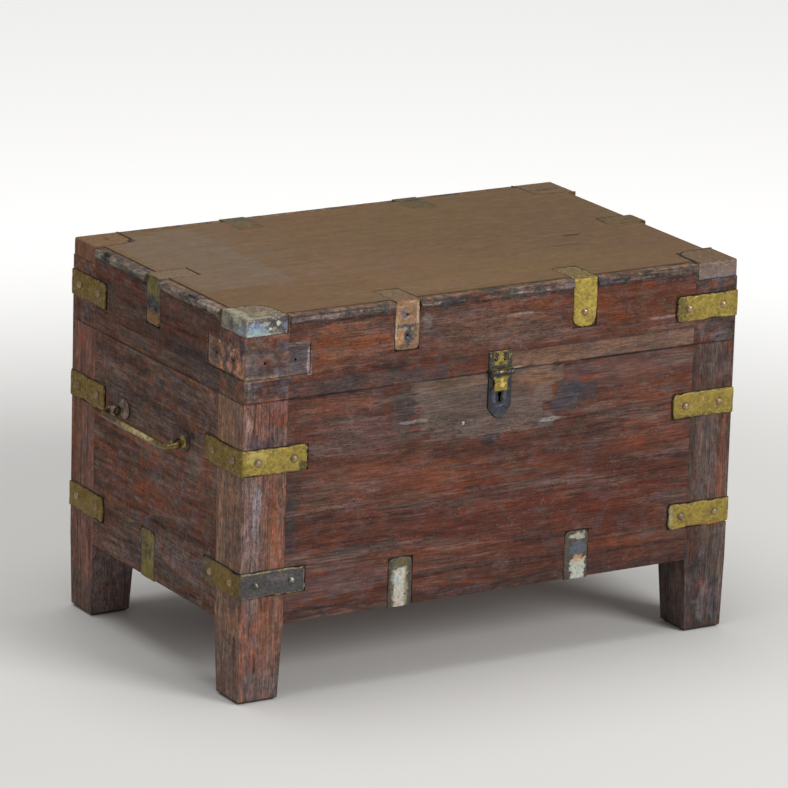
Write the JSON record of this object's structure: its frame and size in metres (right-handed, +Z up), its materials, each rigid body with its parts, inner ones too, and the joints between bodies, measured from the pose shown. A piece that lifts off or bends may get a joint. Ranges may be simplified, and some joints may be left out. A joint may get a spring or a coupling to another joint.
{
  "type": "chest",
  "caption": "Low wooden trunk on tapered legs with a deep hinged lid, brass corner and edge straps, domed nails, a front hasp lock and a bail handle at each end.",
  "frame": {"origin": "on the floor, under the middle of the chest", "axes": "+X along the front from left to right, +Y from the front to the back, +Z up"},
  "size_m": [0.8354, 0.495, 0.522],
  "materials": {
    "post_wood": "old hardwood, dull and rubbed",
    "panel_wood": "old hardwood, reddish, worn satin",
    "top_wood": "bleached and scratched, matte",
    "bottom_wood": "rough, unfinished",
    "strip_wood": "weathered grey, battered",
    "strap_brass": "hammered sheet, tarnished at the edges",
    "fitting_brass": "cast, rubbed bright",
    "cap_metal": "old paint flaking off",
    "dark_iron": "dark wrought iron",
    "nail_metal": "domed heads, dull and brownish"
  },
  "bodies": {
    "carcass": {"post_front_left": "post_wood", "post_front_right": "post_wood", "post_back_left": "post_wood", "post_back_right": "post_wood", "panel_front": "panel_wood", "panel_back": "panel_wood", "panel_left": "panel_wood", "panel_right": "panel_wood", "bottom_board_1": "bottom_wood", "bottom_board_2": "bottom_wood", "bottom_board_3": "bottom_wood", "upper_strap_front_left": "strap_brass", "upper_strap_front_right": "strap_brass", "upper_strap_back_left": "strap_brass", "upper_strap_back_right": "strap_brass", "lower_strap_front_left": "strap_brass", "lower_strap_front_right": "strap_brass", "lower_strap_back_left": "strap_brass", "lower_strap_back_right": "strap_brass", "bottom_straps_front": "strap_brass", "bottom_straps_sides": "strap_brass", "bottom_straps_back": "strap_brass", "hinge_lower_leaves": "strap_brass", "hinge_pins": "dark_iron", "lock_plate": "dark_iron", "lock_case": "dark_iron", "handle_eyes_left": "fitting_brass", "handle_eyes_right": "fitting_brass", "carcass_nails": "nail_metal"},
    "lid": {"lid_stub_front_left": "post_wood", "lid_stub_front_right": "post_wood", "lid_stub_back_left": "post_wood", "lid_stub_back_right": "post_wood", "lid_rail_front": "panel_wood", "lid_rail_right": "panel_wood", "lid_rail_back": "panel_wood", "lid_rail_left": "panel_wood", "top_board_front": "top_wood", "top_board_back": "top_wood", "edge_strips_front": "strip_wood", "edge_strips_left": "strip_wood", "edge_strips_back": "strip_wood", "corner_cap_front_left": "cap_metal", "corner_cap_front_right": "cap_metal", "corner_cap_back_left": "cap_metal", "corner_cap_back_right": "cap_metal", "lid_strap_front_right": "strap_brass", "lid_strap_back_left": "strap_brass", "lid_strap_back_right": "strap_brass", "top_strap_front_left": "strap_brass", "top_strap_front_right": "strap_brass", "top_straps_sides": "strap_brass", "hinge_upper_leaves": "strap_brass", "hasp_leaf": "fitting_brass", "hasp_pin": "fitting_brass", "lid_nails": "nail_metal"},
    "hasp": {"hasp": "fitting_brass"},
    "lock_bolt": {"lock_bolt": "dark_iron"},
    "handle_left": {"handle_left": "fitting_brass"},
    "handle_right": {"handle_right": "fitting_brass"}
  },
  "joints": [
    {"name": "lid_hinge", "type": "hinge", "parent": "carcass", "child": "lid", "pos_m": [0, 0.243, 0.40915], "axis": [-1, 0, 0], "range_deg": [0, 100]},
    {"name": "hasp_swing", "type": "hinge", "parent": "lid", "child": "hasp", "pos_m": [0.007, -0.243, 0.40915], "axis": [-1, 0, 0], "range_deg": [0, 165]},
    {"name": "lock_bolt_slide", "type": "slide", "parent": "carcass", "child": "lock_bolt", "axis": [1, 0, 0], "range_m": [0, 0.006]},
    {"name": "handle_left_swing", "type": "hinge", "parent": "carcass", "child": "handle_left", "pos_m": [-0.394, 0, 0.32], "axis": [0, 1, 0], "range_deg": [-104, 124]},
    {"name": "handle_right_swing", "type": "hinge", "parent": "carcass", "child": "handle_right", "pos_m": [0.394, 0, 0.32], "axis": [0, -1, 0], "range_deg": [-104, 124]}
  ]
}
